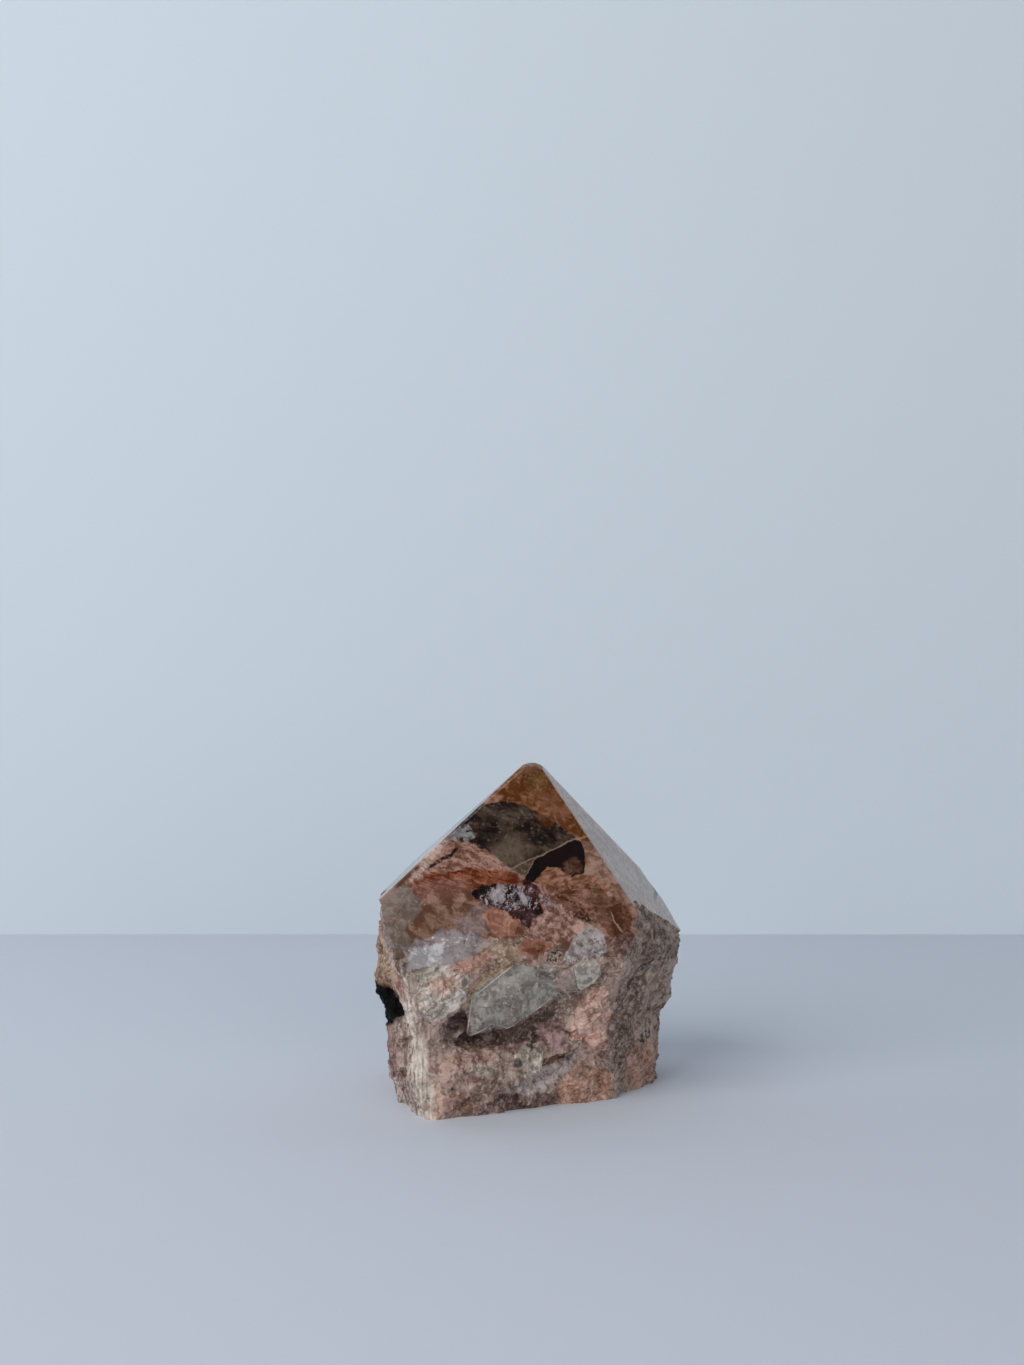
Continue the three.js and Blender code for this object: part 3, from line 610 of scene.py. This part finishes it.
paint(side_spot((-13.5, 24.6), (6.5, 4.4), 0, 0.4), (126, 102, 82), 28, 0.9)
paint(side_spot((-13.0, 21.0), (4.8, 1.1), 0, 0.4), (110, 76, 46), 24, 0.85)
paint(side_spot((-21.0, 23.6), (1.1, 3.0), 0, 0.4), (124, 84, 74), 22, 0.85)
paint(side_spot((-12.0, 9.6), (4.4, 4.4), 0, 0.4), (108, 78, 70), 26, 0.85)

# The right side: grey pink, speckled dark, its fibres climbing on the slant
right_of = move("DOT_PRODUCT", crisp, (0.77, 0.64, 0), output=1)
right_edge = calc("MULTIPLY", calc("MAXIMUM", calc("SUBTRACT", up, 25.0), 0.0), 0.26)
right_side = share(calc("SUBTRACT", right_of, right_edge), 5.6, 6.4)
right_side = calc("MULTIPLY", right_side, share(deep, 14, 10))
right_side = calc("MULTIPLY", right_side, calc("SUBTRACT", 1.0, calc("MULTIPLY", polished, share(up, 27, 28))))
paint(right_side, (112, 94, 86), 34, 1.0, climb)
paint(calc("MULTIPLY", right_side, share(clouds(drawn, 3.0, 3), 0.5, 0.62)), (128, 116, 110), 28, 0.7)
paint(calc("MULTIPLY", right_side, oval_of(front_view, (20.5, 4.2), (3.2, 4.0), 0, 0.5)), (140, 104, 90), 22, 0.7)

# The right flat is painted pale: a painted reflection of the pale wall it faces, over its own grey-pink stone
right_normal, right_offset = PLANES["right"]
on_right = move("DOT_PRODUCT", place, tuple(right_normal), output=1)
right_flat = calc("MULTIPLY", polished, share(on_right, right_offset - 0.12, right_offset - 0.05))
paint(right_flat, (158, 142, 136), 16, 0.9, climb)

broken = calc("SUBTRACT", 1.0, polished)

# The colours of each patch are clouded together, and veins, cracks and specks are drawn over them, with painted glints
# and painted highlights
colour = blend(share(pattern, 0.18, 0.82), palette[1], palette[0])


def draw(patch, seen, strength=1.0):
    global colour
    colour = blend(calc("MULTIPLY", patch, strength), colour, own(seen))


front_flat = calc("MULTIPLY", front(share(up, 28, 31)), calc("SUBTRACT", 1.0, calc("MAXIMUM", smoky, maroon)))
wisp = calc("MULTIPLY", share(feather, 0.66, 0.95), share(mottle, 0.5, 0.8))
draw(calc("MULTIPLY", front_flat, wisp), (176, 140, 126), 0.26)
draw(calc("MULTIPLY", front_flat, share(plume, 0.10, 0.0)), (78, 48, 38), 0.35)
draw(calc("MULTIPLY", soot, broken), (52, 40, 36), 0.7)
rough_stone = calc("MULTIPLY", broken, calc("SUBTRACT", 1.0, calc("MAXIMUM", plate, blocks)))
draw(calc("MULTIPLY", rough_stone, share(clouds(crisp, 2.2, 6, 0.7), 0.55, 0.64)), (180, 166, 159), 0.30)
# Pale lines along the block edges: painted highlight where the edges catch the light
draw(calc("MULTIPLY", calc("MULTIPLY", fracture, share(cloud, 0.3, 0.6)), rough_stone), (170, 154, 146), 0.45)
draw(calc("MULTIPLY", calc("MULTIPLY", fracture, share(cloud, 0.45, 0.2)), broken), (64, 48, 42), 0.7)
draw(calc("MULTIPLY", rough_stone, share(clouds(drawn, 2.2, 6, 0.7), 0.43, 0.34)), (76, 57, 50), 0.34)
# Painted glints: small light flecks on the break and in the smoky quartz where cleavage faces would catch the light
draw(calc("MULTIPLY", glint, broken), (196, 190, 186), 0.22)
draw(calc("MULTIPLY", smoky, glint), (130, 122, 116), 0.25)
draw(calc("MULTIPLY", smoky, wisp), (98, 84, 74), 0.5)
for start_end, seen in ((((-2.1, 42.5), (3.0, 0.10), 22), (142, 126, 114)), (((2.6, 44.2), (2.6, 0.10), 21), (150, 134, 122)),
                        (((6.3, 45.7), (1.8, 0.12), 21), (158, 138, 122)), (((8.8, 46.3), (1.2, 0.12), 10), (170, 140, 118)),
                        (((-0.6, 41.7), (2.0, 0.09), 57), (140, 120, 110)), (((14.3, 32.7), (1.1, 0.10), -69), (170, 150, 136)),
                        (((15.2, 31.3), (0.9, 0.14), -50), (158, 140, 134)), (((9.6, 42.1), (0.7, 0.10), -63), (92, 60, 46))):
    draw(spot_of(*start_end, 0.5, front_crisp), seen, 0.6)
for stroke in (((-16.9, 43.4), (1.8, 0.28), 30), ((-15.0, 44.2), (0.8, 0.34), 16), ((-14.0, 45.0), (1.1, 0.22), 45)):
    draw(calc("MULTIPLY", spot_of(*stroke, 0.5, front_crisp), share(mottle, 0.0, 0.4)), (30, 20, 18), 0.95)
draw(calc("MULTIPLY", purple, share(plume, 0.70, 0.92)), (172, 166, 172), 0.75)
draw(spot_of((-5.9, 37.9), (0.5, 1.3), 10, 0.5, front_crisp), (168, 162, 170), 0.6)
draw(spot_of((-1.7, 36.8), (0.4, 1.1), 25, 0.5, front_crisp), (176, 170, 176), 0.65)
# Painted glints: white flecks in the lilac band
draw(calc("MULTIPLY", lilac, calc("MULTIPLY", glint, mottle)), (215, 212, 212), 0.9)
draw(calc("MULTIPLY", spot_of((-14.1, 30.4), (2.9, 0.7), 10), share(clouds(crisp, 0.7, 4, 0.8), 0.55, 0.6)), (200, 198, 200), 0.85)
draw(calc("MULTIPLY", spot_of((8.8, 33.3), (2.2, 0.5), -22, 0.5), share(fine, 0.38, 0.5)), (28, 22, 20), 0.9)
speck_field = spot_of((3.6, 27.2), (1.5, 1.1), 40, 0.5)
draw(speck_field, (160, 150, 142), 0.4)
draw(calc("MULTIPLY", speck_field, share(fine, 0.42, 0.52)), (22, 18, 17), 0.95)
draw(calc("MULTIPLY", spot_of((-3.3, 29.1), (1.5, 0.5), 20), share(cell, 0.5, 0.58)), (52, 42, 34), 0.8)
draw(calc("MULTIPLY", crystal, white_vein), (190, 186, 188), 0.6)
for rim in (((-9.3, 14.9), (2.0, 0.14), 25), ((-5.7, 15.4), (1.2, 0.14), -23), ((-2.6, 16.0), (2.4, 0.14), 29), ((1.3, 18.5), (2.4, 0.14), 35),
            ((6.4, 20.5), (1.7, 0.12), -4), ((10.2, 22.1), (2.4, 0.12), 40), ((-11.1, 17.9), (3.2, 0.12), 82), ((-7.1, 23.6), (4.5, 0.10), 37)):
    draw(spot_of(*rim, 0.6, front_plain), (176, 172, 166), 0.5)
draw(calc("MULTIPLY", calc("MAXIMUM", plate, blocks), white_vein), (150, 147, 144), 0.25)
draw(spot_of((-2.7, 8.4), (0.7, 0.9), 0, 0.4, front_crisp), (44, 40, 32), 0.85)
draw(calc("MULTIPLY", spot_of((-0.6, 12.4), (1.5, 1.3), 0, 0.4), share(cell, 0.4, 0.5)), (46, 36, 34), 0.85)
draw(spot_of((-11.9, 23.8), (0.5, 0.7), 0, 0.4, front_crisp), (60, 46, 38), 0.7)
draw(calc("MULTIPLY", left_side, share(streak, 0.18, 0.04)), (96, 70, 60), 0.5)
draw(calc("MULTIPLY", right_side, share(clouds(crisp, 0.9, 4, 0.7), 0.58, 0.66)), (62, 47, 41), 0.6)
for at, half in (((20.2, 23.3), (1.5, 0.5)), ((18.0, 19.9), (1.3, 0.9)), ((20.4, 9.3), (1.3, 0.9))):
    dark = calc("MULTIPLY", right_side, oval_of(front_view, at, half, 35, 0.6))
    draw(calc("MULTIPLY", dark, share(cell, 0.45, 0.55)), (34, 26, 25), 0.85)
for at, half in (((20.9, 38.8), (0.4, 0.4)), ((23.4, 33.5), (0.4, 0.7))):
    draw(calc("MULTIPLY", right_flat, oval_of(front_crisp, at, half, -50, 0.5)), (26, 22, 20), 0.95)
black = side_spot((-8.6, 17.9), (6.2, 4.2), 0, 0.12)
draw(black, (9, 8, 8))

# A polished flat is deep in colour and shines; a break is dull, with brighter faces where it is fresh
wet = move("SCALE", colour)
tree.links.new(calc("MULTIPLY_ADD", broken, 0.32, 0.80), wet.node.inputs[3])
tree.links.new(wet, surface.inputs["Base Color"])
dull = calc("MULTIPLY_ADD", cell, 0.25, 0.45)
dull = calc("MULTIPLY_ADD", calc("MAXIMUM", plate, blocks), -0.2, dull)
dull = calc("MULTIPLY_ADD", black, -0.1, dull)
tree.links.new(calc("MULTIPLY_ADD", black, -0.4, 0.5), surface.inputs["Specular IOR Level"])
gloss = calc("MULTIPLY_ADD", mottle, 0.05, 0.1)
tree.links.new(add("Mix", {0: polished, 2: dull, 3: gloss}), surface.inputs["Roughness"])
surface.inputs["IOR"].default_value = 1.53

grain_height = calc("MULTIPLY_ADD", cell, 0.2, clouds(crisp, 1.3, 6, 0.72))
grain_height = calc("MULTIPLY_ADD", calc("MULTIPLY", streak, calc("MAXIMUM", left_side, ridge_veil)), 0.4, grain_height)
grain_height = calc("MULTIPLY_ADD", calc("MULTIPLY", climb, right_side), 0.4, grain_height)
grain_height = calc("MULTIPLY_ADD", calc("MULTIPLY", calc("MAXIMUM", plate, blocks), grain_height), -0.8, grain_height)
grain_height = calc("MULTIPLY", grain_height, broken)
bump = add("Bump", {"Height": grain_height, "Distance": 0.5 * MM, "Strength": 0.8})
tree.links.new(bump, surface.inputs["Normal"])

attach(stone, "root")
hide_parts("moonstone_point")

# The setting: a pale floor, a pale wall behind it, soft light from the left and the camera.
bpy.ops.object.select_all(action="DESELECT")
bpy.ops.mesh.primitive_plane_add(size=1, location=(0, -0.355, 0))
floor = bpy.context.object
floor.name = "floor"
floor.scale = (3, 1, 1)
bpy.ops.mesh.primitive_plane_add(size=1, location=(0, 0.145, 0.2), rotation=(math.radians(90), 0, 0))
wall = bpy.context.object
wall.name = "wall"
wall.scale = (3, 1.4, 1)


def matt(name, colour):
    made = bpy.data.materials.new(name)
    made.use_nodes = True
    made.node_tree.nodes["Principled BSDF"].inputs["Base Color"].default_value = (*colour, 1)
    made.node_tree.nodes["Principled BSDF"].inputs["Roughness"].default_value = 0.9
    return made


floor.data.materials.append(matt("floor_paper", (0.72, 0.76, 0.85)))
wall.data.materials.append(matt("wall_paint", (0.70, 0.78, 0.84)))

camera = bpy.data.objects.new("camera", bpy.data.cameras.new("camera"))
bpy.context.scene.collection.objects.link(camera)
camera.location = Vector((-3.77, -369.71, 100)) * MM
camera.rotation_euler = (math.radians(86), 0, 0)
camera.data.lens = 54.17
camera.data.sensor_width = 36
camera.data.sensor_fit = "AUTO"
camera.data.clip_start = 0.01
bpy.context.scene.camera = camera


def softbox(name, place, aim, size, power):
    lamp = bpy.data.lights.new(name, "AREA")
    lamp.shape = "RECTANGLE"
    lamp.size, lamp.size_y = size
    lamp.energy = power
    held = bpy.data.objects.new(name, lamp)
    bpy.context.scene.collection.objects.link(held)
    held.location = place
    held.rotation_euler = (Vector(aim) - Vector(place)).to_track_quat("-Z", "Y").to_euler()
    return held


softbox("window", (-0.55, -0.50, 0.52), (0, 0, 0.03), (0.7, 0.7), 4.7)
softbox("room", (0.33, -0.97, 0.22), (0, 0, 0.03), (1.0, 0.8), 3.8)
world = bpy.data.worlds.new("studio")
world.use_nodes = True
world.node_tree.nodes["Background"].inputs["Color"].default_value = (0.92, 0.96, 1.0, 1)
world.node_tree.nodes["Background"].inputs["Strength"].default_value = 0.10
bpy.context.scene.world = world
bpy.context.scene.view_settings.view_transform = "Standard"
